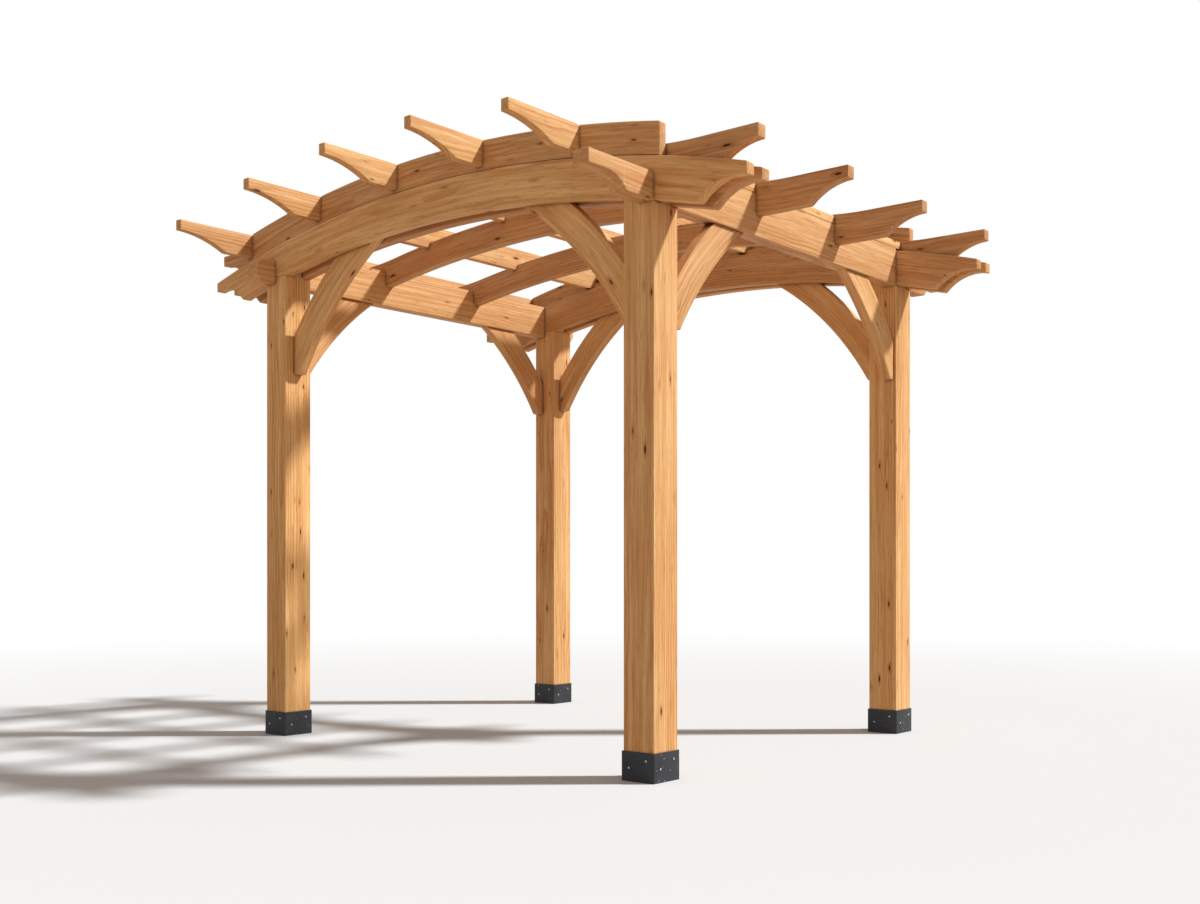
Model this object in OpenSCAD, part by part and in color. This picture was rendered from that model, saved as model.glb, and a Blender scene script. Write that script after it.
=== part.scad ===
// Free-standing wooden pergola: four square posts in steel post bases carry
// paired arched beams front and back and a straight side beam left and right.
// The right side beam ends in coved tails, the left one in short rounded ends.
// Four arched rafters, two fascia arches and five purlins make the open roof.
// X runs along the arches, Y along the purlins, Z is up, the ground is Z = 0.

/* [Posts] */
// width of each square post
post_w = 150; // [135:1:170]
// distance between post centres along the arches
post_span_x = 2290; // [2000:10:2600]
// distance between post centres along the purlins
post_span_y = 1930; // [1700:10:2300]
// height of the post shoulder under the side beams
shoulder_z = 2215; // [2050:5:2400]

/* [Post bases] */
// height of the steel sleeve round the foot of a post
base_h = 115; // [80:1:160]
// thickness of the steel of a post base
base_wall = 6; // [4:0.5:10]

/* [Arched beams] */
// radius of the underside of the arched beams
arch_r = 6000; // [5200:50:7000]
// depth of each arched beam
arch_depth = 165; // [150:1:180]
// thickness of each of the paired arched beams
arch_t = 50; // [40:1:55]
// height of the seat of the arched beams above the post shoulder
arch_lift = 32; // [20:1:45]
// reach of an arched beam past the outer face of the posts
arch_tail = 425; // [360:5:500]
// height of the blunt end of an arched beam
arch_nose = 45; // [30:1:70]
// length of the cove under the end of an arched beam
arch_cove = 195; // [150:5:230]

/* [Side beams] */
// depth of the side beams
side_depth = 182; // [165:1:200]
// thickness of the side beams
side_t = 75; // [60:1:85]
// height of the half-lapped ends of the side beams
side_lap = 110; // [95:1:125]
// reach of the right side beam past the outer face of the posts
side_tail = 376; // [300:5:450]
// height of the blunt end of the right side beam
side_nose = 54; // [40:1:70]
// length of the level stretch under the blunt end
side_level = 105; // [60:5:130]
// length of the cove behind that level stretch
side_cove = 110; // [80:5:150]
// reach of the left side beam past the outer face of the posts
stub_tail = 110; // [80:5:160]
// radius of the rounded ends of the left side beam
stub_round = 64; // [63:1:75]

/* [Rafters] */
// radius of the top of the rafters
rafter_r = 6770; // [6000:50:7600]
// depth of the rafters
rafter_depth = 128; // [115:1:140]
// height of the rafter tops above the side beams
rafter_stand = 44; // [35:1:60]
// reach of a rafter past the outer face of the posts
rafter_tail = 441; // [380:5:520]
// distance from the post faces to where a rafter tail runs level
rafter_level = 180; // [120:5:240]
// height of the blunt end of a rafter tail
rafter_nose = 52; // [40:1:70]
// length of the cove under a rafter tail
rafter_cove = 190; // [120:5:230]

/* [Fascia arches] */
// depth of the fascia arches on the outer arched beams
fascia_depth = 132; // [122:1:145]
// thickness of the fascia arches
fascia_t = 44; // [34:1:50]
// reach of the fascia arches past the posts on the right
fascia_end = 22; // [0:1:60]
// reach of the fascia arches past the first purlin on the left
fascia_lip = 16; // [8:1:30]

/* [Purlins] */
// depth of the purlins
purlin_depth = 115; // [105:1:125]
// thickness of the purlins
purlin_t = 40; // [32:1:50]
// distance between purlin centres
purlin_pitch = 546; // [500:1:560]
// reach of a purlin past the outer arched beams
purlin_tail = 396; // [330:5:450]
// height of the blunt end of a purlin
purlin_nose = 50; // [40:1:65]
// length of the cove under a purlin end
purlin_cove = 250; // [180:5:290]

/* [Knee braces] */
// thickness of the side braces
brace_t = 50; // [40:1:60]
// width of the curved band of a brace
brace_w = 131; // [110:1:150]
// radius of the hollow edge of a brace
brace_r = 1600; // [1300:50:2200]
// width of the blunt foot of a brace
brace_toe = 36; // [20:1:50]
// reach of an arch brace from its post
brace_reach_x = 585; // [500:5:650]
// drop of an arch brace down its post
brace_drop_x = 555; // [480:5:620]
// height of the head of an arch brace between the paired boards
brace_tuck = 40; // [20:1:50]
// reach of a side brace from its post
brace_reach_y = 475; // [400:5:550]
// drop of a side brace down its post
brace_drop_y = 465; // [400:5:540]

/* [Eave blocking] */
// width of the blocking on the right side beam
block_w = 45; // [30:1:60]
// height of the blocking
block_h = 38; // [25:1:42]

/* [Hidden] */
$fn = 720;
// height of the cuts that seat one timber on another, more than any timber is deep
cut_h = arch_depth + side_depth;

// faces of the posts, measured from the plan centre
out_x = post_span_x/2 + post_w/2;
in_x = post_span_x/2 - post_w/2;
out_y = post_span_y/2 + post_w/2;
in_y = post_span_y/2 - post_w/2;

// arched beams: one circular arc from end to end
seat_z = shoulder_z + arch_lift;
arch_cz = seat_z - sqrt(arch_r*arch_r - in_x*in_x);
arch_tip = out_x + arch_tail;

// side beams
side_in = out_x - side_t;
side_top = shoulder_z + side_depth;
lap_z = shoulder_z + side_lap;
side_tip = out_y + side_tail;
stub_tip = out_y + stub_tail;

// rafters: an arc over the span, a counter curve and a level tail
rafter_t = post_w - 2*arch_t;
rafter_mid = side_in + side_t/2;
rafter_cz = side_top + rafter_stand - sqrt(rafter_r*rafter_r - rafter_mid*rafter_mid);
rafter_lo = rafter_r - rafter_depth;
rafter_tip = out_x + rafter_tail;
level_x = out_x + rafter_level;
turn_a = asin(in_x/rafter_r);
turn_r = level_x/sin(turn_a) - rafter_r;
tail_top = rafter_cz + (rafter_r + turn_r)*cos(turn_a) - turn_r;
tail_low = tail_top - rafter_depth;
tongue_z = rafter_cz + sqrt(rafter_lo*rafter_lo - in_x*in_x);
rafter_y = [-post_span_y/2, -post_span_y/6, post_span_y/6, post_span_y/2];

// purlins, numbered from the left, in even places of which the last is left open
purlin_count = 5;
purlin_x = [for (i = [0:purlin_count - 1]) (i - purlin_count/2)*purlin_pitch];
purlin_tip = out_y + purlin_tail;
fascia_left = -purlin_x[0] + purlin_t/2 + fascia_lip;
fascia_right = out_x + fascia_end;

// height of a line kept at one offset above the underside of the arched beams
function band_z(off, x) = arch_cz + sqrt((arch_r + off)*(arch_r + off) - x*x);

// height of the top of a rafter
function rafter_z(x) = abs(x) <= in_x
    ? rafter_cz + sqrt(rafter_r*rafter_r - x*x)
    : abs(x) >= level_x
    ? tail_top
    : tail_top + turn_r - sqrt(turn_r*turn_r - (level_x - abs(x))*(level_x - abs(x)));

// top of a purlin, and the level at which it is notched over what it crosses
function purlin_top(i) = band_z(arch_depth + fascia_depth, abs(purlin_x[i]) + purlin_t/2);
function purlin_half(i) = purlin_top(i) - purlin_depth/2;
function purlin_seat(i) = min(rafter_z(abs(purlin_x[i]) + purlin_t/2), purlin_half(i));

// radius of a cove that starts level at a nose and falls a given drop over a length
function cove_r(len, drop) = (len*len + drop*drop)/(2*drop);

// centre of the arc through (0, 0) and (reach, drop) that hollows towards the opening
function arc_mid(reach, drop) = sqrt(brace_r*brace_r - (reach*reach + drop*drop)/4);
function arc_cx(reach, drop) = reach/2 + arc_mid(reach, drop)*drop/sqrt(reach*reach + drop*drop);
function arc_cz(reach, drop) = drop/2 - arc_mid(reach, drop)*reach/sqrt(reach*reach + drop*drop);

timber = [0.72, 0.53, 0.33];
steel = [0.22, 0.22, 0.23];

// carries a drawing in X and Z to a board of thickness t between y0 and y0 + t
module board_x(y0, t) {
    translate([0, y0 + t, 0])
        rotate([90, 0, 0])
            linear_extrude(height = t)
                children();
}

// carries a drawing in Y and Z to a board of thickness t between x0 and x0 + t
module board_y(x0, t) {
    translate([x0, 0, 0])
        rotate([90, 0, 90])
            linear_extrude(height = t)
                children();
}

// space below a seat: at is the middle of the seat, size its length in X and in Y
module space_below(at, size) {
    translate([at[0] - size[0]/2, at[1] - size[1]/2, at[2] - cut_h])
        cube([size[0], size[1], cut_h]);
}

// space above a seat
module space_above(at, size) {
    translate([at[0] - size[0]/2, at[1] - size[1]/2, at[2]])
        cube([size[0], size[1], cut_h]);
}

// outline of an arched band at one offset above the underside of the arched beams
module arched_band(off, depth, left, right) {
    intersection() {
        translate([0, arch_cz])
            difference() {
                circle(r = arch_r + off + depth);
                circle(r = arch_r + off);
            }
        translate([-left, arch_cz])
            square([left + right, 2*arch_r]);
    }
}

// hollow under the right end of an arched beam, level with its underside at the nose
module arch_end_cove() {
    drop = arch_depth - arch_nose;
    r = cove_r(arch_cove, drop);
    translate([0, arch_cz])
        rotate(-asin(arch_tip/(arch_r + drop)))
            translate([0, arch_r + drop - r])
                circle(r = r);
}

// one board of a paired arched beam
module arch_beam(y0) {
    color(timber)
        difference() {
            board_x(y0, arch_t)
                difference() {
                    arched_band(0, arch_depth, arch_tip, arch_tip);
                    arch_end_cove();
                    mirror([1, 0])
                        arch_end_cove();
                }
            for (s = [-1, 1]) {
                space_below([s*(in_x + side_in)/2, y0 + arch_t/2, seat_z], [side_in - in_x, 2*arch_t]);
                space_below([s*rafter_mid, y0 + arch_t/2, lap_z], [side_t, 2*arch_t]);
            }
        }
}

// outline of the lapped part of the right side beam, with a level nose and a cove at each end
module coved_ends() {
    drop = side_lap - side_nose;
    r = cove_r(side_cove, drop);
    difference() {
        translate([-side_tip, shoulder_z])
            square([2*side_tip, side_lap]);
        for (s = [-1, 1])
            translate([s*(side_tip - side_level), shoulder_z + drop - r])
                circle(r = r);
        for (s = [-1, 1])
            translate([s*side_tip - side_level, shoulder_z - side_lap])
                square([2*side_level, side_lap + drop]);
    }
}

// outline of the lapped part of the left side beam, with short rounded ends
module rounded_ends() {
    intersection() {
        translate([-stub_tip, shoulder_z])
            square([2*stub_tip, side_lap]);
        union() {
            translate([stub_round - stub_tip, shoulder_z - side_lap])
                square([2*(stub_tip - stub_round), 3*side_lap]);
            for (s = [-1, 1])
                translate([s*(stub_tip - stub_round), lap_z - side_lap/2])
                    circle(r = stub_round);
        }
    }
}

// one straight side beam, its lapped part drawn by what it is given
module side_beam(x0) {
    color(timber)
        board_y(x0, side_t)
            difference() {
                union() {
                    translate([-in_y, shoulder_z])
                        square([2*in_y, side_depth]);
                    children();
                }
                for (k = [1, 2])
                    translate([rafter_y[k] - rafter_t/2, lap_z])
                        square([rafter_t, side_depth]);
            }
}

// half outline of a rafter tail
module rafter_tail() {
    drop = rafter_depth - rafter_nose;
    r = cove_r(rafter_cove, drop);
    difference() {
        union() {
            translate([in_x, tail_low])
                square([level_x - in_x, 2*rafter_depth]);
            translate([level_x, tail_low])
                square([rafter_tip - level_x, rafter_depth]);
        }
        translate([level_x, tail_top + turn_r])
            circle(r = turn_r);
        translate([0, rafter_cz])
            circle(r = rafter_lo);
        translate([rafter_tip, tail_low + drop - r])
            circle(r = r);
    }
}

// one arched rafter; the outer pair also sits on the post tongues
module rafter(k) {
    color(timber)
        difference() {
            board_x(rafter_y[k] - rafter_t/2, rafter_t)
                union() {
                    intersection() {
                        translate([0, rafter_cz])
                            difference() {
                                circle(r = rafter_r);
                                circle(r = rafter_lo);
                            }
                        translate([-side_in, rafter_cz])
                            square([2*side_in, 2*rafter_r]);
                    }
                    rafter_tail();
                    mirror([1, 0])
                        rafter_tail();
                }
            for (s = [-1, 1]) {
                space_below([s*rafter_mid, rafter_y[k], lap_z], [side_t, 2*rafter_t]);
                if (k == 0 || k == 3)
                    space_below([s*(in_x + side_in)/2, rafter_y[k], tongue_z], [side_in - in_x, 2*rafter_t]);
            }
            for (i = [0:purlin_count - 1])
                space_above([purlin_x[i], rafter_y[k], purlin_seat(i)], [purlin_t, 2*rafter_t]);
        }
}

// one fascia arch on an outer arched beam
module fascia_arch(y0) {
    color(timber)
        difference() {
            board_x(y0, fascia_t)
                arched_band(arch_depth, fascia_depth, fascia_left, fascia_right);
            for (i = [0:purlin_count - 1])
                space_above([purlin_x[i], y0 + fascia_t/2, purlin_half(i)], [purlin_t, 2*fascia_t]);
        }
}

// one purlin, notched over the rafters and the fascia arches
module purlin(i) {
    drop = purlin_depth - purlin_nose;
    r = cove_r(purlin_cove, drop);
    low = purlin_top(i) - purlin_depth;
    color(timber)
        board_y(purlin_x[i] - purlin_t/2, purlin_t)
            difference() {
                translate([-purlin_tip, low])
                    square([2*purlin_tip, purlin_depth]);
                for (s = [-1, 1]) {
                    translate([s*purlin_tip, low + drop - r])
                        circle(r = r);
                    translate([s*(out_y - arch_t + fascia_t/2) - fascia_t/2, purlin_half(i) - purlin_depth])
                        square([fascia_t, purlin_depth]);
                }
                for (y = rafter_y)
                    translate([y - rafter_t/2, purlin_seat(i) - purlin_depth])
                        square([rafter_t, purlin_depth]);
            }
}

// one post with shoulders for the beams and a tongue between the paired boards
module post(sx, sy) {
    color(timber)
        translate([sx*post_span_x/2, sy*post_span_y/2, 0])
            difference() {
                translate([-post_w/2, -post_w/2, base_wall])
                    cube([post_w, post_w, tongue_z - base_wall]);
                for (s = [-1, 1])
                    space_above([0, s*(post_w/2 - arch_t/2), seat_z], [2*post_w, arch_t]);
                space_above([sx*(post_w/2 - side_t/2), 0, shoulder_z], [side_t, 2*post_w]);
            }
}

// one steel post base: a floor plate and four walls round the foot of the post
module post_base(sx, sy) {
    color(steel)
        translate([sx*post_span_x/2, sy*post_span_y/2, 0])
            difference() {
                translate([-post_w/2 - base_wall, -post_w/2 - base_wall, 0])
                    cube([post_w + 2*base_wall, post_w + 2*base_wall, base_h]);
                translate([-post_w/2, -post_w/2, base_wall])
                    cube([post_w, post_w, base_h]);
            }
}

// outline of a curved brace, the post face at 0 and its blunt foot at height 0
module brace_shape(reach, drop, top) {
    run = reach - brace_toe;
    intersection() {
        translate([brace_toe + arc_cx(run, drop), arc_cz(run, drop)])
            difference() {
                circle(r = brace_r + brace_w);
                circle(r = brace_r);
            }
        square([2*reach, top]);
    }
}

// brace in the plane of the arches, its head held between the paired boards
module arch_brace(sx, sy) {
    foot = band_z(0, in_x - brace_reach_x) - brace_drop_x;
    color(timber)
        mirror([sx < 0 ? 1 : 0, 0, 0])
            translate([in_x, 0, 0])
                mirror([1, 0, 0])
                    board_x(sy*post_span_y/2 - rafter_t/2, rafter_t)
                        translate([0, foot])
                            brace_shape(brace_reach_x, brace_drop_x, brace_drop_x + brace_tuck);
}

// brace under a side beam
module side_brace(sx, sy) {
    color(timber)
        mirror([0, sy < 0 ? 1 : 0, 0])
            translate([0, in_y, 0])
                mirror([0, 1, 0])
                    board_y(sx*rafter_mid - brace_t/2, brace_t)
                        translate([0, shoulder_z - brace_drop_y])
                            brace_shape(brace_reach_y, brace_drop_y, brace_drop_y);
}

// three blocks on the right side beam, one between each pair of rafters
module eave_blocking() {
    clear = post_span_y/3 - rafter_t;
    color(timber)
        for (k = [-1, 0, 1])
            translate([out_x - block_w, k*post_span_y/3 - clear/2, side_top])
                cube([block_w, clear, block_h]);
}

module front_right_post_base() { post_base(1, -1); }
module front_left_post_base() { post_base(-1, -1); }
module back_left_post_base() { post_base(-1, 1); }
module back_right_post_base() { post_base(1, 1); }
module front_right_post() { post(1, -1); }
module front_left_post() { post(-1, -1); }
module back_left_post() { post(-1, 1); }
module back_right_post() { post(1, 1); }
module front_outer_arch_beam() { arch_beam(-out_y); }
module front_inner_arch_beam() { arch_beam(-in_y - arch_t); }
module back_inner_arch_beam() { arch_beam(in_y); }
module back_outer_arch_beam() { arch_beam(out_y - arch_t); }
module right_side_beam() { side_beam(side_in) coved_ends(); }
module left_side_beam() { side_beam(-out_x) rounded_ends(); }
module rafter_1() { rafter(0); }
module rafter_2() { rafter(1); }
module rafter_3() { rafter(2); }
module rafter_4() { rafter(3); }
module front_fascia_arch() { fascia_arch(-out_y + arch_t - fascia_t); }
module back_fascia_arch() { fascia_arch(out_y - arch_t); }
module purlin_1() { purlin(0); }
module purlin_2() { purlin(1); }
module purlin_3() { purlin(2); }
module purlin_4() { purlin(3); }
module purlin_5() { purlin(4); }
module front_right_arch_brace() { arch_brace(1, -1); }
module front_left_arch_brace() { arch_brace(-1, -1); }
module back_left_arch_brace() { arch_brace(-1, 1); }
module back_right_arch_brace() { arch_brace(1, 1); }
module front_right_side_brace() { side_brace(1, -1); }
module front_left_side_brace() { side_brace(-1, -1); }
module back_left_side_brace() { side_brace(-1, 1); }
module back_right_side_brace() { side_brace(1, 1); }
module right_eave_blocking() { eave_blocking(); }

front_right_post_base();
front_left_post_base();
back_left_post_base();
back_right_post_base();
front_right_post();
front_left_post();
back_left_post();
back_right_post();
front_outer_arch_beam();
front_inner_arch_beam();
back_inner_arch_beam();
back_outer_arch_beam();
right_side_beam();
left_side_beam();
rafter_1();
rafter_2();
rafter_3();
rafter_4();
front_fascia_arch();
back_fascia_arch();
purlin_1();
purlin_2();
purlin_3();
purlin_4();
purlin_5();
front_right_arch_brace();
front_left_arch_brace();
back_left_arch_brace();
back_right_arch_brace();
front_right_side_brace();
front_left_side_brace();
back_left_side_brace();
back_right_side_brace();
right_eave_blocking();
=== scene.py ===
"""Looks of a free-standing wooden pergola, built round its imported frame.

Metres, Z up, the ground is Z = 0. X runs along the arches and Y along the purlins.
"""
import math

import bpy
import numpy as np
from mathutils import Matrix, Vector


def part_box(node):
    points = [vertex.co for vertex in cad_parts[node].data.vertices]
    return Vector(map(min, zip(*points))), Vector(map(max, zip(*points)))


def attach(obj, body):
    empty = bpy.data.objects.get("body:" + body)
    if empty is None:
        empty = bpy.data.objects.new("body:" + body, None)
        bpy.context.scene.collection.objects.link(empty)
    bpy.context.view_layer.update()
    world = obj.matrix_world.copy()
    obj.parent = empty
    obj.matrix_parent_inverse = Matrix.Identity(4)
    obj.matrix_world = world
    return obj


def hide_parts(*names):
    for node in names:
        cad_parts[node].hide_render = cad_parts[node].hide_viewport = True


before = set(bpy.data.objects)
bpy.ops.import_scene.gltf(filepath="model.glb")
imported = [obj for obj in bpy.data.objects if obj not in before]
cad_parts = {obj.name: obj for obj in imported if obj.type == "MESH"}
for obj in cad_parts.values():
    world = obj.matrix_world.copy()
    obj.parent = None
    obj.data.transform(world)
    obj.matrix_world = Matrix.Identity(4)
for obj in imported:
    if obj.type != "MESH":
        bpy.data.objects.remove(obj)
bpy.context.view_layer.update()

# Sizes of the timbers as in the part's source; a nose is the height of a blunt end, a cove the length of
# the hollow under it
ARCH_R = 6.000            # underside of the arched beams
ARCH_DEPTH = 0.165
ARCH_T = 0.050
ARCH_LIFT = 0.032         # seat of the arched beams above the post shoulder
ARCH_NOSE = 0.045
ARCH_COVE = 0.195
SIDE_LAP = 0.110          # height of the half-lapped ends of the side beams
SIDE_NOSE = 0.054
SIDE_LEVEL = 0.105        # level stretch under the nose
SIDE_COVE = 0.110
STUB_ROUND = 0.064        # radius of the left side beam's ends
RAFTER_R = 6.770          # top of the rafters
RAFTER_DEPTH = 0.128
RAFTER_STAND = 0.044      # top of the rafters above the side beams
RAFTER_LEVEL = 0.180      # from the post faces to where a tail runs level
RAFTER_NOSE = 0.052
RAFTER_COVE = 0.190
FASCIA_DEPTH = 0.132
PURLIN_DEPTH = 0.115
PURLIN_NOSE = 0.050
PURLIN_COVE = 0.250
BRACE_R = 1.600           # hollow edge of the braces
BRACE_W = 0.131
BRACE_TOE = 0.036         # blunt foot of a brace
BRACE_TUCK = 0.040        # head of an arch brace between the paired boards

# Places read from the frame, on the right and at the back; the other sides mirror them
post_low, post_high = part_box("front_right_post")
side_low, side_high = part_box("right_side_beam")
OUT_X, IN_X, IN_Y = post_high.x, post_low.x, -post_high.y
TONGUE_Z = post_high.z
SHOULDER_Z, SIDE_TOP = side_low.z, side_high.z
SIDE_IN, SIDE_TIP = side_low.x, side_high.y
STUB_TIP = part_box("left_side_beam")[1].y
LAP_Z = SHOULDER_Z + SIDE_LAP
SEAT_Z = SHOULDER_Z + ARCH_LIFT
ARCH_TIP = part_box("front_outer_arch_beam")[1].x
ARCH_CZ = SEAT_Z - math.sqrt(ARCH_R**2 - IN_X**2)
RAFTER_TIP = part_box("rafter_1")[1].x
RAFTER_MID = (SIDE_IN + OUT_X)/2
RAFTER_CZ = SIDE_TOP + RAFTER_STAND - math.sqrt(RAFTER_R**2 - RAFTER_MID**2)
LEVEL_X = OUT_X + RAFTER_LEVEL
TURN_A = math.asin(IN_X/RAFTER_R)
TURN_R = LEVEL_X/math.sin(TURN_A) - RAFTER_R
TAIL_TOP = RAFTER_CZ + (RAFTER_R + TURN_R)*math.cos(TURN_A) - TURN_R
TAIL_LOW = TAIL_TOP - RAFTER_DEPTH
ARCH_BEAMS = [f"{end}_arch_beam" for end in ("front_outer", "front_inner", "back_inner", "back_outer")]
FASCIAS = ["front_fascia_arch", "back_fascia_arch"]
RAFTERS = [f"rafter_{k}" for k in (1, 2, 3, 4)]
PURLINS = [f"purlin_{k}" for k in (1, 2, 3, 4, 5)]
CORNERS = ["front_right", "front_left", "back_left", "back_right"]

# Finish of the timbers
EASE = 0.0045             # radius of the eased edges
FASCIA_EASE = 0.008       # rounder, so the joint over the arched beam reads as a dark line
EASE_STEPS = 3
EASE_LEFT = 0.2           # share of the radius that is left on the end faces
STATION = 0.04            # spacing of the sections along a timber
STEP_GAP = 0.0005         # half the width of the wall of a notch
CLOSE_ROWS = 25           # sections over a cove or a brace
ARCH_LEAD = 0.05          # how far the close sections start before a cove
SIDE_LEAD = 0.02
TAIL_LEAD = 0.03
FAR_BELOW = -1.0          # a height under everything
SHARP_ANGLE = math.radians(20)

# Boards: how dark (-1) or pale (1) each kind is, by the first name here that the node holds; the dark rafters
# and inner arched beams are painted shade, for the shade under the roof
BOARD_TONES_AND_SHADE = {"fascia": -0.6, "rafter": -0.8, "inner_arch": -0.7, "arch_beam": 0.2,
               "post": 0.3, "blocking": 0.5}
TONE_SPREAD = 0.35        # difference between boards of a kind
HEART_NEAR, HEART_FAR = 0.05, 0.14     # distance of the log's heart from the middle of a board
LOG_LENGTH = 40           # how far along the log a board may start
rng = np.random.default_rng(7)

# Post bases
SLEEVE_BEND = 0.006       # radius of the bent corners
SLEEVE_RIM = 0.0015       # radius of the rims
SLEEVE_GAP = 0.0002       # room between sleeve and post
LEAST_BEND = 0.001        # least radius of the corners inside
SCREW_Z = 0.068           # height of the screws, and how they spread over a face
SCREW_STAGGER = 0.016
SCREW_SPREAD = 0.042
HEAD_RADIUS = (4.5, 4.5, 4.2, 3.5, 2.6, 1.9, 1.2, 0.5)     # mm: skirt, dome, dished drive
HEAD_HEIGHT = (-0.5, 0.9, 1.7, 2.3, 2.6, 2.5, 1.5, 1.4)

# Floor and light
FLOOR_RADIUS = 64
FADE_START, FADE_END = 1.5, 11.0       # distances between which the floor fades to white
SUN_FROM = (0.76, 0.65, 1.0)           # towards the sun
SUN_POWER = 4.6
SUN_ANGLE = math.radians(4.2)
SKY_POWER = 0.42

# The picture is 1200 by 904; the camera is level, and the frame is shifted off its axis
PICTURE_W, PICTURE_H = 1200, 904
FOCAL_PIXELS = 1317.0
AXIS_PIXEL = (645.8, 567.2)
CAMERA_PLACE = (4.314, -4.960, 0.823)
CAMERA_TURN = math.radians(38.63)
SENSOR_MM = 36.0


# Materials

MM = 1000                 # millimetres in a metre
SMOOTH = {"interpolation_type": "SMOOTHSTEP"}
COLOURS = {"data_type": "RGBA", "out": 2}     # a Mix gives its colour at output 2
WHITE = (1, 1, 1, 1)
RING_WIDTH = 0.015        # rings of a slow-grown log are 2 to 4 mm apart; drawn coarser so that they show
RING_SWAY = 0.045         # how much slow noise sways the rings, from side to side
RING_PUSH = 0.010         # how far a knot pushes them aside
CREASE_SHADE_REACH = 0.028       # how far the painted shade in a joint reaches over the boards


def linear(hex_colour):
    """sRGB hex to linear RGBA: each channel is c/12.92 below 0.04045, else ((c + 0.055)/1.055)^2.4."""
    channel = np.array([int(hex_colour[i:i + 2], 16) for i in (1, 3, 5)])/255
    rgb = np.where(channel <= 0.04045, channel/12.92, ((channel + 0.055)/1.055)**2.4)
    return (*rgb.tolist(), 1.0)


def add(tree, kind, inputs, out=0, **settings):
    """Adds a node with its settings, fills its inputs with values or links, and returns one of its outputs.

    Inputs go by name or number. In a Map Range, 0 is the value, 1 and 2 its range, 3 and 4 the range that it
    is mapped to. In a Mix of colours, 0 is the share of the second colour, 6 and 7 are the colours.
    """
    node = tree.nodes.new("ShaderNode" + kind)
    for name, value in settings.items():
        setattr(node, name, value)
    for key, value in inputs.items():
        if isinstance(value, bpy.types.NodeSocket):
            tree.links.new(value, node.inputs[key])
        else:
            node.inputs[key].default_value = value
    return node.outputs[out] if node.outputs else None


def empty_tree(owner):
    """The node tree of a new material or world, emptied."""
    owner.use_nodes = True
    owner.node_tree.nodes.clear()
    return owner.node_tree


def knots(tree, place):
    """Knots in cells of the grain, one in about two of three, drawn 15 to 35 mm long: how far a point is in a
    knot, and in the stain round it."""
    near = add(tree, "TexVoronoi", {"Vector": place, "Scale": 1.0, "Randomness": 1.0})
    lot = add(tree, "SeparateColor", {0: near.node.outputs["Color"]}).node.outputs
    chosen = add(tree, "MapRange", {0: lot[0], 1: 0.34, 2: 0.36}, **SMOOTH)
    size = add(tree, "MapRange", {0: lot[1], 3: 0.05, 4: 0.125}, **SMOOTH)
    reach = add(tree, "Math", {0: near, 1: size}, operation="DIVIDE")
    core = add(tree, "MapRange", {0: reach, 1: 0.6, 2: 1.0, 3: 1.0, 4: 0.0}, **SMOOTH)
    core = add(tree, "Math", {0: core, 1: chosen}, operation="MULTIPLY")
    stain = add(tree, "MapRange", {0: reach, 1: 0.8, 2: 2.4, 3: 1.0, 4: 0.0}, **SMOOTH)
    return core, add(tree, "Math", {0: stain, 1: chosen}, operation="MULTIPLY")


def growth_rings(tree, grain, noise, stain):
    """Late wood of the growth rings, by the distance from the log's heart, swayed by noise and pushed aside
    by the knots: it rises slowly over a ring's width and ends sharply."""
    sway = add(tree, "VectorMath", {0: noise, 1: (0.5, 0.5, 0.5)}, operation="SUBTRACT")
    sway = add(tree, "VectorMath", {0: sway, 1: (0, RING_SWAY, RING_SWAY)}, operation="MULTIPLY")
    swayed = add(tree, "VectorMath", {0: grain, 1: sway}, operation="ADD")
    across = add(tree, "VectorMath", {0: swayed, 1: (0, 1, 1)}, operation="MULTIPLY")
    radius = add(tree, "VectorMath", {0: across}, "Value", operation="LENGTH")
    radius = add(tree, "Math", {0: stain, 1: RING_PUSH, 2: radius}, operation="MULTIPLY_ADD")
    ring = add(tree, "Math", {0: radius, 1: RING_WIDTH}, operation="DIVIDE")
    ring = add(tree, "Math", {0: ring}, operation="FRACT")
    rise = add(tree, "MapRange", {0: ring, 1: 0.35, 2: 0.92}, **SMOOTH)
    fall = add(tree, "MapRange", {0: ring, 1: 0.93, 2: 1.0, 3: 1.0, 4: 0.0}, **SMOOTH)
    return add(tree, "Math", {0: rise, 1: fall}, operation="MULTIPLY")


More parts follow.
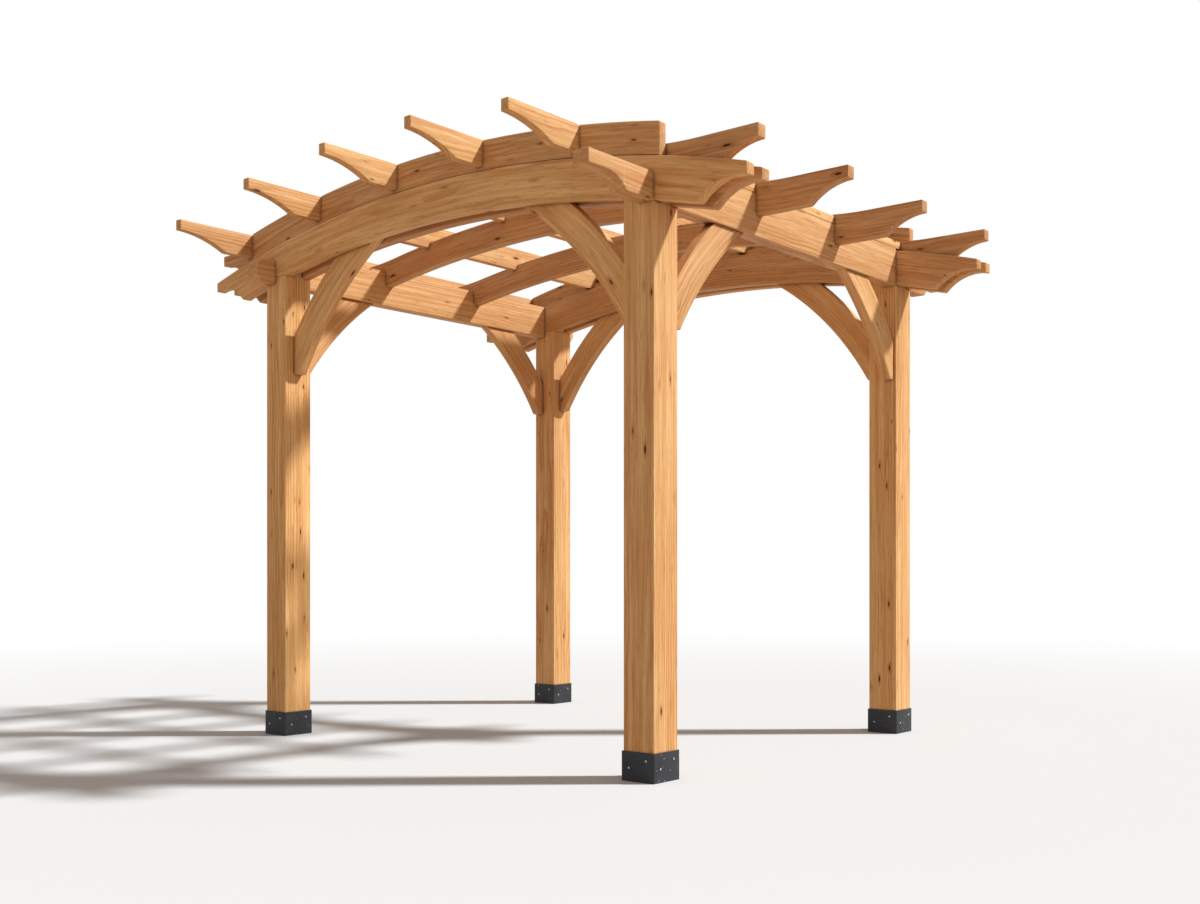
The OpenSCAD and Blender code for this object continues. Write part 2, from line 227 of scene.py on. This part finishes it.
def planed_softwood():
    """Planed softwood under clear oil: honey-coloured, with fine streaks along the board, growth rings that
    run out into long arches, and a few small dark knots. The oil leaves it satin, not glossy."""
    material = bpy.data.materials.new("planed_softwood_clear_oil")
    tree = empty_tree(material)
    grain = add(tree, "Attribute", {}, "Vector", attribute_name="grain")
    tone = add(tree, "Attribute", {}, "Fac", attribute_name="tone")
    edge = add(tree, "Attribute", {}, "Fac", attribute_name="edge")
    end = add(tree, "Attribute", {}, "Fac", attribute_name="end")

    # patterns on the grain, by the length and width of their cells in mm; fibres are under 1 mm wide, and
    # fibre and dash are drawn at 4 to 5 mm so that they show
    cells = {"knot": (180, 52), "sway": (480, 110), "streak": (800, 20), "cloud": (600, 110),
             "fibre": (160, 5), "dash": (75, 4)}
    place = {}
    for name, (along, across) in cells.items():
        scale = (MM/along, MM/across, MM/across)
        place[name] = add(tree, "VectorMath", {0: grain, 1: scale}, operation="MULTIPLY")
    noise = {}
    for name, detail in (("sway", 2.0), ("streak", 2.0), ("cloud", 1.0), ("fibre", 3.0), ("dash", 2.0)):
        noise[name] = add(tree, "TexNoise", {"Vector": place[name], "Scale": 1.0, "Detail": detail})

    core, stain = knots(tree, place["knot"])
    late = growth_rings(tree, grain, noise["sway"].node.outputs["Color"], stain)

    # layers over the pale early wood, in order: strength and colour
    streaks = add(tree, "MapRange", {0: noise["streak"], 1: 0.30, 2: 0.70}, **SMOOTH)
    clouds = add(tree, "MapRange", {0: noise["cloud"], 1: 0.35, 2: 0.75, 4: 0.40}, **SMOOTH)
    shown = add(tree, "MapRange", {0: noise["cloud"], 1: 0.40, 2: 0.68, 3: 0.06, 4: 0.60}, **SMOOTH)
    late_wood = add(tree, "Math", {0: late, 1: shown}, operation="MULTIPLY")
    fibres = add(tree, "MapRange", {0: noise["fibre"], 1: 0.45, 2: 0.70, 4: 0.42}, **SMOOTH)
    dashes = add(tree, "MapRange", {0: noise["dash"], 1: 0.60, 2: 0.70, 4: 0.45}, **SMOOTH)
    stains = add(tree, "Math", {0: stain, 1: 0.45}, operation="MULTIPLY")
    end_grain = add(tree, "Math", {0: end, 1: 0.30}, operation="MULTIPLY")
    # painted highlight: the eased edges are drawn paler, as arrises that catch the light
    edge_highlight = add(tree, "Math", {0: edge, 1: 0.20}, operation="MULTIPLY")
    # painted shade: the wood is darkened where other timber is near, in the joints and creases, as if shaded
    # there
    open_air = add(tree, "AmbientOcclusion", {"Distance": CREASE_SHADE_REACH}, "AO", samples=8)
    joint_painted_shade = add(tree, "MapRange", {0: open_air, 1: 0.15, 2: 0.85, 3: 0.88, 4: 0.0}, **SMOOTH)
    layers = [(streaks, "#d6a56a"), (clouds, "#dcaa6b"), (late_wood, "#ad6f3b"), (fibres, "#b87a45"),
              (dashes, "#8f552b"), (stains, "#a05c31"), (core, "#3d2112"), (end_grain, "#b98a55"),
              (edge_highlight, "#ebc798"), (joint_painted_shade, "#4a2a16")]
    colour = linear("#ebc48b")
    for strength, layer in layers:
        colour = add(tree, "Mix", {0: strength, 6: colour, 7: linear(layer)}, **COLOURS)

    # each board has a hue and brightness of its own; on the rafters and inner arched beams the darkness is
    # partly painted shade
    hue = add(tree, "MapRange", {0: tone, 1: -1.0, 3: 0.490, 4: 0.503}, **SMOOTH)
    value = add(tree, "MapRange", {0: tone, 1: -1.0, 3: 0.79, 4: 1.08}, **SMOOTH)
    colour = add(tree, "HueSaturation", {"Hue": hue, "Saturation": 1.0, "Value": value, "Color": colour})
    rough = add(tree, "MapRange", {0: noise["fibre"], 1: 0.3, 2: 0.7, 3: 0.58, 4: 0.72}, **SMOOTH)
    height = add(tree, "Math", {0: late, 1: 0.4}, operation="MULTIPLY")
    height = add(tree, "Math", {0: noise["fibre"], 1: 0.6, 2: height}, operation="MULTIPLY_ADD")
    bump = add(tree, "Bump", {"Strength": 0.25, "Distance": 0.0008, "Height": height})
    shader = add(tree, "BsdfPrincipled", {"Base Color": colour, "Roughness": rough, "Normal": bump,
                                          "Specular IOR Level": 0.22})
    add(tree, "OutputMaterial", {"Surface": shader})
    return material


def powder_coated_steel():
    """Folded steel under charcoal powder coat: dark and satin, with a fine pebble and a few pale chips."""
    material = bpy.data.materials.new("powder_coated_steel")
    tree = empty_tree(material)
    # the pebble of a powder coat is about 1 mm wide, drawn at 3 mm; chips lie in cells of 22 mm
    place = add(tree, "TexCoord", {}, "Object")
    pebble = add(tree, "TexNoise", {"Vector": place, "Scale": MM/3, "Detail": 2.0})
    cloud = add(tree, "TexNoise", {"Vector": place, "Scale": MM/60, "Detail": 3.0})
    near = add(tree, "TexVoronoi", {"Vector": place, "Scale": MM/22, "Randomness": 1.0})
    lot = add(tree, "SeparateColor", {0: near.node.outputs["Color"]})
    size = add(tree, "MapRange", {0: lot, 1: 0.45, 4: 0.24})
    chip = add(tree, "Math", {0: near, 1: size}, operation="LESS_THAN")
    dust = add(tree, "MapRange", {0: cloud, 1: 0.35, 2: 0.75})
    colour = add(tree, "Mix", {0: dust, 6: linear("#25282d"), 7: linear("#33363b")}, **COLOURS)
    colour = add(tree, "Mix", {0: chip, 6: colour, 7: linear("#83868a")}, **COLOURS)
    rough = add(tree, "MapRange", {0: cloud, 1: 0.3, 2: 0.7, 3: 0.42, 4: 0.58})
    bump = add(tree, "Bump", {"Strength": 0.2, "Distance": 0.0004, "Height": pebble})
    shader = add(tree, "BsdfPrincipled", {"Base Color": colour, "Roughness": rough, "Normal": bump,
                                          "Specular IOR Level": 0.35})
    add(tree, "OutputMaterial", {"Surface": shader})
    return material


def zinc_plated_steel():
    """Pressed screw heads under bright zinc: pale grey metal with a soft sheen, clouded in cells of 4 mm."""
    material = bpy.data.materials.new("zinc_plated_steel")
    tree = empty_tree(material)
    place = add(tree, "TexCoord", {}, "Object")
    cloud = add(tree, "TexNoise", {"Vector": place, "Scale": MM/4, "Detail": 3.0})
    colour = add(tree, "Mix", {0: cloud, 6: linear("#8f9296"), 7: linear("#c4c6c8")}, **COLOURS)
    rough = add(tree, "MapRange", {0: cloud, 1: 0.3, 2: 0.7, 3: 0.32, 4: 0.5})
    shader = add(tree, "BsdfPrincipled", {"Base Color": colour, "Roughness": rough, "Metallic": 1.0})
    add(tree, "OutputMaterial", {"Surface": shader})
    return material


WOOD = planed_softwood()
COATED = powder_coated_steel()
ZINC = zinc_plated_steel()


# Curves of the timbers

def arch_z(offset, x):
    """Height of the circle of radius ARCH_R + offset round the arch centre, at x."""
    return ARCH_CZ + np.sqrt((ARCH_R + offset)**2 - np.square(x))


def rafter_z(x):
    """Height of a rafter's top: an arc over the span, a counter curve past the posts, then level."""
    x = np.abs(x)
    arc = RAFTER_CZ + np.sqrt(RAFTER_R**2 - np.square(x))
    turn = TAIL_TOP + TURN_R - np.sqrt(TURN_R**2 - np.square(np.clip(LEVEL_X - x, 0, None)))
    return np.where(x <= IN_X, arc, turn)


def hollow(place, centre, centre_z, radius):
    """Top of a disc of the given radius at each place, and far below everything outside the disc."""
    inside = radius**2 - np.square(place - centre)
    return np.where(inside > 0, centre_z + np.sqrt(np.clip(inside, 0, None)), FAR_BELOW)


def cove_radius(length, drop):
    """Radius of a disc that starts level and falls by drop over length: (length^2 + drop^2)/(2 drop)."""
    return (length**2 + drop**2)/(2*drop)


def purlin_levels(node):
    """Heights of a purlin's notches: half its depth on the fascias, and on the rafters a seat at the rafters'
    own height under the purlin's outer face, but no higher than the half."""
    low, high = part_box(node)
    half = high.z - PURLIN_DEPTH/2
    return half, min(float(rafter_z(max(abs(low.x), abs(high.x)))), half)


def brace_reach(head_z):
    """Reach of an arch brace: the arch's underside is at the height of its head there."""
    return IN_X - math.sqrt(ARCH_R**2 - (head_z - ARCH_CZ)**2)


# Timbers

AXES = {"x": (0, 1, 2), "y": (1, 2, 0), "z": (2, 0, 1)}


def both_ends(start, end):
    """A stretch towards one end of a timber, and its mirror image at the other end."""
    return [(start, end), (-end, -start)]


def stations(start, end, walls=(), close=()):
    """Places of the sections: even spacing, two beside every notch wall, and close rows over the coves."""
    rows = [np.arange(start, end, STATION), [end]]
    rows += [[wall - STEP_GAP, wall + STEP_GAP] for wall in walls]
    rows += [np.linspace(first, last, CLOSE_ROWS) for first, last in close]
    return np.unique(np.round(np.clip(np.concatenate(rows), start, end), 5))


def notch(at, bound, cuts, side):
    """Moves a bound to a level between the walls of each cut: side is np.maximum for a lower bound and
    np.minimum for an upper one."""
    for low, high, level in cuts:
        bound = np.where((at > low) & (at < high), side(bound, level), bound)
    return bound


def ring_faces(rings, points, first=0):
    """Faces of a closed tube of rings: quads between neighbours, and a cap on the first and the last ring."""
    number = first + np.arange(rings*points).reshape(rings, points)
    following = np.roll(number, -1, axis=1)
    quads = np.stack([number[:-1], following[:-1], following[1:], number[1:]], -1).reshape(-1, 4)
    return quads.tolist() + [number[0, ::-1].tolist(), number[-1].tolist()]


def carried_section(axis, at, a_low, a_high, b_low, b_high, ease=EASE):
    """Points and faces of a closed timber: a rectangle with eased corners carried along one axis.

    At each station the section spans a_low..a_high and b_low..b_high on the next two axes in the order
    x, y, z, x, y. A ring point is a corner's centre plus radius*(cos t, sin t), a quarter turn for each
    corner. At both ends the section draws in by ease*(1 - sin q) where it is ease*(1 - cos q) from the end.
    Returns the points as a grid of stations by ring, the faces, how far each point is round an edge, from 0
    to 1, and 1 for the points of the end faces.
    """
    quarter = np.linspace(0, np.pi/2, EASE_STEPS + 1)
    along, inset = ease*(1 - np.cos(quarter)), ease*(1 - np.sin(quarter))
    middle = at[(at > at[0] + ease) & (at < at[-1] - ease)]
    eased = np.concatenate([at[0] + along, middle, at[-1] - along[::-1]])
    inset = np.concatenate([inset, 0*middle, inset[::-1]])
    bounds = (np.broadcast_to(bound, at.shape) for bound in (a_low, a_high, b_low, b_high))
    a_low, a_high, b_low, b_high = (np.interp(eased, at, bound) for bound in bounds)
    a_low, a_high, b_low, b_high = a_low + inset, a_high - inset, b_low + inset, b_high - inset
    radius = np.maximum(ease - inset, EASE_LEFT*ease)[:, None]
    turn = (np.pi/2*np.array([2, 3, 0, 1])[:, None] + quarter).ravel()
    corner = np.repeat([0, 1, 2, 3], EASE_STEPS + 1)
    inward_a, inward_b = np.array([1, -1, -1, 1])[corner], np.array([1, 1, -1, -1])[corner]
    centre_a = np.stack([a_low, a_high, a_high, a_low], 1)[:, corner] + inward_a*radius
    centre_b = np.stack([b_low, b_low, b_high, b_high], 1)[:, corner] + inward_b*radius
    grid = np.empty((len(eased), len(turn), 3))
    run, a_axis, b_axis = AXES[axis]
    grid[..., run] = eased[:, None]
    grid[..., a_axis] = centre_a + radius*np.cos(turn)
    grid[..., b_axis] = centre_b + radius*np.sin(turn)
    edge = np.broadcast_to(np.sin(2*np.tile(quarter, 4)), grid.shape[:2])
    end = np.zeros(grid.shape[:2])
    end[[0, -1]] = 1.0
    return grid, ring_faces(*grid.shape[:2]), edge, end


def straight_grain(axis):
    """Grain that runs along one axis: length along it, then the two coordinates across it."""
    return lambda points: points[..., AXES[axis]]


def arc_grain(axis, centre_u, centre_z, radius):
    """Grain bent round a centre in the plane of Z and axis 0 or 1: length is radius times the angle, depth is
    the distance past the radius."""
    def follow(points):
        u, z = points[..., axis] - centre_u, points[..., 2] - centre_z
        return np.stack([radius*np.arctan2(u, z), points[..., 1 - axis], np.hypot(u, z) - radius], -1)
    return follow


def line_grain(top):
    """Grain that keeps its depth under a curved top line along x."""
    return lambda points: np.stack([points[..., 0], points[..., 1], points[..., 2] - top(points[..., 0])], -1)


def make_piece(name, points, faces, material, slot, replaced=(), **attributes):
    """Puts points and faces into a mesh, with attributes on its points, on the frame's one body."""
    mesh = bpy.data.meshes.new(name)
    mesh.from_pydata(points.reshape(-1, 3).tolist(), [], faces)
    for key, values in attributes.items():
        kind, field = ("FLOAT_VECTOR", "vector") if values.shape[-1] == 3 else ("FLOAT", "value")
        data = mesh.attributes.new(key, kind, "POINT").data
        data.foreach_set(field, values.astype(np.float32).ravel())
    mesh.shade_smooth()
    mesh.set_sharp_from_angle(angle=SHARP_ANGLE)
    mesh.materials.append(material)
    piece = bpy.data.objects.new(name, mesh)
    bpy.context.scene.collection.objects.link(piece)
    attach(piece, "root")
    if replaced:
        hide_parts(*replaced)


def make_timber(node, section, grain):
    """A timber in place of its CAD node. Each board is cut from its own place in the log: the heart of the
    growth rings lies beside the board, and the length of the log starts at a place of its own."""
    grid, faces, edge, end = section
    coordinates = grain(grid)
    middle = coordinates.reshape(-1, 3).mean(0)
    angle = rng.uniform(0, 2*np.pi)
    heart = rng.uniform(HEART_NEAR, HEART_FAR)*np.array([np.cos(angle), np.sin(angle)])
    shift = np.array([rng.uniform(0, LOG_LENGTH), heart[0] - middle[1], heart[1] - middle[2]])
    # rafters and inner arched beams take a darker tone here, as painted shade
    kind_tone_and_shade = next((tone for kind, tone in BOARD_TONES_AND_SHADE.items() if kind in node), 0.0)
    tone = np.full(grid.shape[:2] + (1,), kind_tone_and_shade + rng.uniform(-TONE_SPREAD, TONE_SPREAD))
    make_piece(node + "_timber", grid, faces, WOOD, "timber", [node],
               grain=coordinates + shift, tone=tone, edge=edge[..., None], end=end[..., None])


def build_posts():
    """Posts: a square section up to the shoulder, then housed for the side beam and the paired arches."""
    for corner in CORNERS:
        low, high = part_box(corner + "_post")
        at = stations(low.z, high.z, [SHOULDER_Z, SEAT_Z])
        left = np.where((at > SHOULDER_Z) & (low.x < 0), -SIDE_IN, low.x)
        right = np.where((at > SHOULDER_Z) & (low.x > 0), SIDE_IN, high.x)
        housed = np.where(at > SEAT_Z, ARCH_T, 0)
        section = carried_section("z", at, left, right, low.y + housed, high.y - housed)
        make_timber(corner + "_post", section, straight_grain("z"))


def build_braces():
    """Braces: the band between two circles round one centre, cut off at the post, the foot and the head.

    The hollow edge joins the toe at the foot to the head. Its centre lies on the middle normal of that chord,
    sqrt(radius^2 - chord^2/4) away. u is the distance from the post's face.
    """
    for corner in CORNERS:
        for kind, axis, face, tuck in (("arch_brace", 0, IN_X, BRACE_TUCK), ("side_brace", 1, IN_Y, 0.0)):
            node = f"{corner}_{kind}"
            low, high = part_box(node)
            way = -1.0 if low[axis] > 0 else 1.0
            drop = high.z - low.z - tuck
            reach = brace_reach(high.z - tuck) if axis == 0 else high[axis] - low[axis]
            run = reach - BRACE_TOE
            chord = math.hypot(run, drop)
            middle = math.sqrt(BRACE_R**2 - chord**2/4)
            centre_u = BRACE_TOE + run/2 + middle*drop/chord
            centre_z = low.z + drop/2 - middle*run/chord
            at = stations(low.z, high.z, (), [(low.z, high.z)])
            inner = centre_u - np.sqrt(BRACE_R**2 - (at - centre_z)**2)
            outer = np.maximum(centre_u - np.sqrt((BRACE_R + BRACE_W)**2 - (at - centre_z)**2), 0)
            near, far = way*(outer - face), way*(inner - face)
            near, far = np.minimum(near, far), np.maximum(near, far)
            spans = (near, far, low.y, high.y) if axis == 0 else (low.x, high.x, near, far)
            make_timber(node, carried_section("z", at, *spans),
                        arc_grain(axis, way*(centre_u - face), centre_z, BRACE_R))


def build_arch_beams():
    """Paired arched beams: the band between two circles, coved at both tips, notched over posts and side
    beams. The disc of a cove touches the nose's circle from inside, at the tip."""
    drop = ARCH_DEPTH - ARCH_NOSE
    radius = cove_radius(ARCH_COVE, drop)
    lean = math.asin(ARCH_TIP/(ARCH_R + drop))
    reach = ARCH_R + drop - radius
    walls = [IN_X, SIDE_IN, OUT_X]
    at = stations(-ARCH_TIP, ARCH_TIP, walls + [-wall for wall in walls],
                  both_ends(ARCH_TIP - ARCH_COVE - ARCH_LEAD, ARCH_TIP))
    x = np.abs(at)
    cove = hollow(x, reach*math.sin(lean), ARCH_CZ + reach*math.cos(lean), radius)
    seats = [(IN_X, SIDE_IN, SEAT_Z), (SIDE_IN, OUT_X, LAP_Z)]
    under = notch(x, np.maximum(arch_z(0, at), cove), seats, np.maximum)
    for node in ARCH_BEAMS:
        low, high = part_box(node)
        make_timber(node, carried_section("x", at, low.y, high.y, under, arch_z(ARCH_DEPTH, at)),
                    arc_grain(0, 0, ARCH_CZ, ARCH_R))


def build_side_beams():
    """Side beams: level boards, full height between the posts, lapped under the arches, notched for rafters.

    The right one ends in a cove and a level nose. The left one has rounded ends, where its half height is
    that of a circle, sqrt(STUB_ROUND^2 - past^2), cut off at the lap.
    """
    cuts = [(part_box(rafter)[0].y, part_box(rafter)[1].y, LAP_Z) for rafter in RAFTERS[1:3]]
    walls = [-IN_Y, IN_Y] + [wall for cut in cuts for wall in cut[:2]]

    drop = SIDE_LAP - SIDE_NOSE
    radius = cove_radius(SIDE_COVE, drop)
    nose = SIDE_TIP - SIDE_LEVEL
    at = stations(-SIDE_TIP, SIDE_TIP, walls, both_ends(nose - SIDE_COVE - SIDE_LEAD, SIDE_TIP))
    top = notch(at, np.where(np.abs(at) < IN_Y, SIDE_TOP, LAP_Z), cuts, np.minimum)
    under = np.where(np.abs(at) > nose, SHOULDER_Z + drop, SHOULDER_Z)
    under = np.maximum(under, hollow(np.abs(at), nose, SHOULDER_Z + drop - radius, radius))
    section = carried_section("y", at, under, top, SIDE_IN, OUT_X)
    make_timber("right_side_beam", section, straight_grain("y"))

    shoulder = STUB_TIP - STUB_ROUND
    at = stations(-STUB_TIP, STUB_TIP, walls, both_ends(shoulder, STUB_TIP))
    top = notch(at, np.where(np.abs(at) < IN_Y, SIDE_TOP, LAP_Z), cuts, np.minimum)
    past = np.clip(np.abs(at) - shoulder, 0, STUB_ROUND - EASE)
    half = np.minimum(np.sqrt(STUB_ROUND**2 - past**2), SIDE_LAP/2)
    middle = LAP_Z - SIDE_LAP/2
    under = np.maximum(middle - half, SHOULDER_Z)
    top = np.where(past > 0, np.minimum(top, middle + half), top)
    section = carried_section("y", at, under, top, -OUT_X, -SIDE_IN)
    make_timber("left_side_beam", section, straight_grain("y"))


def build_rafters():
    """Rafters: an arched board with level coved tails, seated on the side beams, notched for the purlins.

    The underside is the top's arc moved in by the depth, never under the level tail, with a disc's top as
    the cove at each tip.
    """
    drop = RAFTER_DEPTH - RAFTER_NOSE
    radius = cove_radius(RAFTER_COVE, drop)
    cuts = [(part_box(purlin)[0].x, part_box(purlin)[1].x, purlin_levels(purlin)[1]) for purlin in PURLINS]
    walls = [IN_X, SIDE_IN, OUT_X]
    walls += [-wall for wall in walls] + [wall for cut in cuts for wall in cut[:2]]
    close = both_ends(IN_X, LEVEL_X) + both_ends(RAFTER_TIP - RAFTER_COVE - TAIL_LEAD, RAFTER_TIP)
    at = stations(-RAFTER_TIP, RAFTER_TIP, walls, close)
    x = np.abs(at)
    under = RAFTER_CZ + np.sqrt((RAFTER_R - RAFTER_DEPTH)**2 - x**2)
    under = np.where(x <= IN_X, under, np.maximum(under, TAIL_LOW))
    under = np.maximum(under, hollow(x, RAFTER_TIP, TAIL_LOW + drop - radius, radius))
    top = notch(at, rafter_z(at), cuts, np.minimum)
    for node in RAFTERS:
        seats = [(SIDE_IN, OUT_X, LAP_Z)]
        if node in (RAFTERS[0], RAFTERS[-1]):
            seats.append((IN_X, SIDE_IN, TONGUE_Z))
        low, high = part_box(node)
        section = carried_section("x", at, low.y, high.y, notch(x, under, seats, np.maximum), top)
        make_timber(node, section, line_grain(rafter_z))


def build_fascia_arches():
    """Fascia arches: a plain band between two circles on each outer beam, notched for the purlins."""
    cuts = [(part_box(purlin)[0].x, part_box(purlin)[1].x, purlin_levels(purlin)[0]) for purlin in PURLINS]
    for node in FASCIAS:
        low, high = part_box(node)
        at = stations(low.x, high.x, [wall for cut in cuts for wall in cut[:2]])
        top = notch(at, arch_z(ARCH_DEPTH + FASCIA_DEPTH, at), cuts, np.minimum)
        section = carried_section("x", at, low.y, high.y, arch_z(ARCH_DEPTH, at), top, FASCIA_EASE)
        make_timber(node, section, arc_grain(0, 0, ARCH_CZ, ARCH_R))


def build_purlins():
    """Purlins: level boards notched over rafters and fascias, with a disc's top as the cove at each end."""
    drop = PURLIN_DEPTH - PURLIN_NOSE
    radius = cove_radius(PURLIN_COVE, drop)
    fascias = [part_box(fascia) for fascia in FASCIAS]
    rafters = [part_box(rafter) for rafter in RAFTERS]
    for node in PURLINS:
        low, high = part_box(node)
        half, seat = purlin_levels(node)
        cuts = [(front.y, back.y, half) for front, back in fascias]
        cuts += [(front.y, back.y, seat) for front, back in rafters]
        at = stations(low.y, high.y, [wall for cut in cuts for wall in cut[:2]],
                      both_ends(high.y - PURLIN_COVE - TAIL_LEAD, high.y))
        under = np.maximum(low.z, hollow(np.abs(at), high.y, low.z + drop - radius, radius))
        under = notch(at, under, cuts, np.maximum)
        make_timber(node, carried_section("y", at, under, high.z, low.x, high.x), straight_grain("y"))


def build_blocking():
    """Blocks between the rafters on the right side beam: three plain boards in one piece."""
    low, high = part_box("right_eave_blocking")
    boards = []
    for before, after in zip(RAFTERS[:-1], RAFTERS[1:]):
        start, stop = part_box(before)[1].y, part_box(after)[0].y
        boards.append(carried_section("y", stations(start, stop), low.z, high.z, low.x, high.x))
    grids, faces, edges, ends = zip(*boards)
    firsts = np.cumsum([0] + [grid.shape[0]*grid.shape[1] for grid in grids[:-1]])
    joined = [[point + first for point in face] for first, board in zip(firsts, faces) for face in board]
    section = np.concatenate(grids), joined, np.concatenate(edges), np.concatenate(ends)
    make_timber("right_eave_blocking", section, straight_grain("y"))


# Post bases

def build_post_bases():
    """Steel post bases: a wall profile carried round a square with bent corners.

    The profile goes up the outer face, over a rim of two quarter rounds, and down the inner face to the floor
    plate. A ring point is a corner's centre plus radius*(cos t, sin t).
    """
    wall = post_low.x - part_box("front_right_post_base")[0].x
    quarter = np.linspace(0, np.pi/2, 6)
    turn = np.concatenate([quarter + side*np.pi/2 for side in range(4)])
    sign_x = np.repeat([1, -1, -1, 1], len(quarter))
    sign_y = np.repeat([1, 1, -1, -1], len(quarter))
    rounding = SLEEVE_RIM*(1 - np.cos([0, np.pi/4, np.pi/2]))
    inner = wall - rounding[::-1]
    inner[-1] -= SLEEVE_GAP
    inset = np.concatenate([[SLEEVE_RIM, 0], rounding, inner, inner[-1:]])
    radius = np.maximum(SLEEVE_BEND - inset, LEAST_BEND)[:, None]
    for corner in CORNERS:
        low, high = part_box(corner + "_post_base")
        foot = [low.z, low.z + SLEEVE_RIM]
        height = np.concatenate([foot, high.z - rounding[::-1], high.z - rounding, [low.z + wall]])
        flat = (high.x - low.x)/2 - inset[:, None] - radius
        grid = np.empty((len(inset), len(turn), 3))
        grid[..., 0] = (low.x + high.x)/2 + sign_x*flat + radius*np.cos(turn)
        grid[..., 1] = (low.y + high.y)/2 + sign_y*flat + radius*np.sin(turn)
        grid[..., 2] = height[:, None]
        make_piece(corner + "_sleeve", grid, ring_faces(*grid.shape[:2]), COATED, "post_base_steel",
                   [corner + "_post_base"])


def build_base_screws():
    """Pan-head screws through the bases: a head profile turned round the face's normal, two on each face.

    A point is the head's centre plus radius*(cos t, sin t) in the face and height along its normal.
    """
    radius = np.array(HEAD_RADIUS)[:, None, None]/MM
    height = np.array(HEAD_HEIGHT)[:, None, None]/MM
    turn = np.linspace(0, 2*np.pi, 16, endpoint=False)[:, None]
    up = np.array([0.0, 0.0, 1.0])
    for corner in CORNERS:
        low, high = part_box(corner + "_post_base")
        middle = np.array([(low.x + high.x)/2, (low.y + high.y)/2, low.z + SCREW_Z])
        heads = []
        for side in range(4):
            normal = np.array([math.cos(side*np.pi/2), math.sin(side*np.pi/2), 0.0])
            across = np.array([-normal[1], normal[0], 0.0])
            face = middle + (high.x - low.x)/2*normal
            ring = np.cos(turn)*across + np.sin(turn)*up
            for way in (-1, 1):
                centre = face + way*(SCREW_STAGGER*up + SCREW_SPREAD*across)
                heads.append(centre + radius*ring + height*normal)
        rings, points = heads[0].shape[:2]
        faces = [face for head in range(len(heads)) for face in ring_faces(rings, points, head*rings*points)]
        make_piece(corner + "_base_screws", np.stack(heads), faces, ZINC, "post_base_steel")


# Floor, light and camera

def seen_by_eye(tree):
    """1 for rays from the camera, straight or by a mirror or glass, and 0 for light that spreads."""
    straight = add(tree, "LightPath", {}, "Is Camera Ray")
    rays = straight.node.outputs
    seen = add(tree, "Math", {0: straight, 1: rays["Is Glossy Ray"]}, operation="MAXIMUM")
    return add(tree, "Math", {0: seen, 1: rays["Is Transmission Ray"]}, operation="MAXIMUM")


def build_floor():
    """Pale matt floor: a wide flat disc that fades to white away from the part. It is darker to the light
    that it throws back than to the eye, so the undersides of the timbers stay deep."""
    turn = np.linspace(0, 2*np.pi, 64, endpoint=False)
    points = FLOOR_RADIUS*np.stack([np.cos(turn), np.sin(turn), 0*turn], -1)
    mesh = bpy.data.meshes.new("floor")
    mesh.from_pydata(points.tolist(), [], [list(range(len(turn)))])
    material = bpy.data.materials.new("matt_pale_floor")
    tree = empty_tree(material)
    place = add(tree, "TexCoord", {}, "Object")
    away = add(tree, "VectorMath", {0: place}, "Value", operation="LENGTH")
    fade = add(tree, "MapRange", {0: away, 1: FADE_START, 2: FADE_END}, **SMOOTH)
    seen = seen_by_eye(tree)
    colour = add(tree, "Mix", {0: seen, 6: linear("#b2a498"), 7: linear("#ced3d7")}, **COLOURS)
    matt = add(tree, "BsdfPrincipled", {"Base Color": colour, "Roughness": 1.0, "Specular IOR Level": 0.0})
    white = add(tree, "Emission", {"Color": WHITE, "Strength": 1.0})
    share = add(tree, "Math", {0: fade, 1: seen}, operation="MULTIPLY")
    blend = add(tree, "MixShader", {0: share, 1: matt, 2: white})
    add(tree, "OutputMaterial", {"Surface": blend})
    mesh.materials.append(material)
    floor = bpy.data.objects.new("floor", mesh)
    bpy.context.scene.collection.objects.link(floor)


def build_light():
    """Soft sun from the right and behind, and an even pale sky that is plain white to the eye."""
    sun = bpy.data.lights.new("sun", "SUN")
    sun.energy = SUN_POWER
    sun.angle = SUN_ANGLE
    sun.color = linear("#fffdfa")[:3]
    lamp = bpy.data.objects.new("sun", sun)
    lamp.rotation_euler = Vector(SUN_FROM).to_track_quat("Z", "Y").to_euler()
    bpy.context.scene.collection.objects.link(lamp)
    world = bpy.data.worlds.new("sky")
    bpy.context.scene.world = world
    tree = empty_tree(world)
    seen = seen_by_eye(tree)
    power = add(tree, "MapRange", {0: seen, 3: SKY_POWER})
    tint = add(tree, "Mix", {0: seen, 6: linear("#ffeadb"), 7: WHITE}, **COLOURS)
    sky = add(tree, "Background", {"Color": tint, "Strength": power})
    add(tree, "OutputWorld", {"Surface": sky})


def build_camera():
    """Level camera: focal length and shift from the picture's focal length and axis in pixels."""
    camera = bpy.data.cameras.new("camera")
    camera.sensor_fit = "HORIZONTAL"
    camera.sensor_width = SENSOR_MM
    camera.lens = SENSOR_MM*FOCAL_PIXELS/PICTURE_W
    camera.shift_x = (PICTURE_W/2 - AXIS_PIXEL[0])/PICTURE_W
    camera.shift_y = (AXIS_PIXEL[1] - PICTURE_H/2)/PICTURE_W
    stand = bpy.data.objects.new("camera", camera)
    stand.location = CAMERA_PLACE
    stand.rotation_euler = (math.pi/2, 0, CAMERA_TURN)
    bpy.context.scene.collection.objects.link(stand)
    bpy.context.scene.camera = stand


build_posts()
build_braces()
build_arch_beams()
build_side_beams()
build_rafters()
build_fascia_arches()
build_purlins()
build_blocking()
build_post_bases()
build_base_screws()
build_floor()
build_light()
build_camera()
bpy.context.scene.view_settings.view_transform = "Standard"
